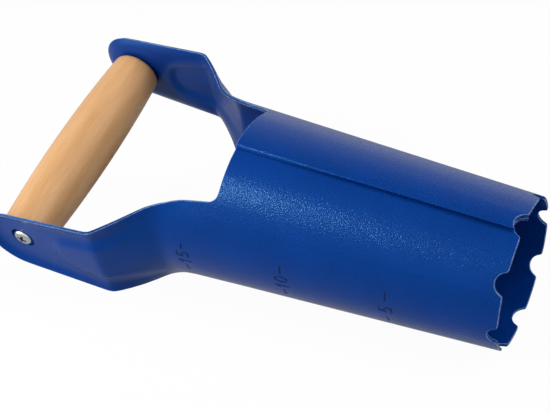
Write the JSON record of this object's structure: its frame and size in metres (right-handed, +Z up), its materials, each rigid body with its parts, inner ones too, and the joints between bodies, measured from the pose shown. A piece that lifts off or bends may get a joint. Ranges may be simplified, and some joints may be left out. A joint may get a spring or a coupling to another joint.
{
  "type": "bulb planter",
  "caption": "Hand bulb planter: a tapered, lap-seamed steel tube with a notched cutting edge, and pressed side arms that carry a turned wooden cross grip.",
  "frame": {"origin": "bottom centre of the whole tool as it lies on the ground, on its tube and one arm", "axes": "+X out of the tube's toothed mouth, level, 3.1 degrees off the tube's axis, which droops with its taper; +Z up from the ground; +Y to the left of +X, with the grip's axis 23.2 degrees above it"},
  "size_m": [0.2562, 0.1296, 0.091],
  "materials": {
    "blue_powder_coat": "glossy powder coat with a fine orange peel",
    "lacquered_beech": "clear lacquer",
    "bright_zinc": "bright zinc plate"
  },
  "bodies": {
    "root": {"planter_body": "blue_powder_coat", "grip": "lacquered_beech", "grip_screw_right": "bright_zinc", "grip_screw_left": "bright_zinc"}
  },
  "joints": []
}
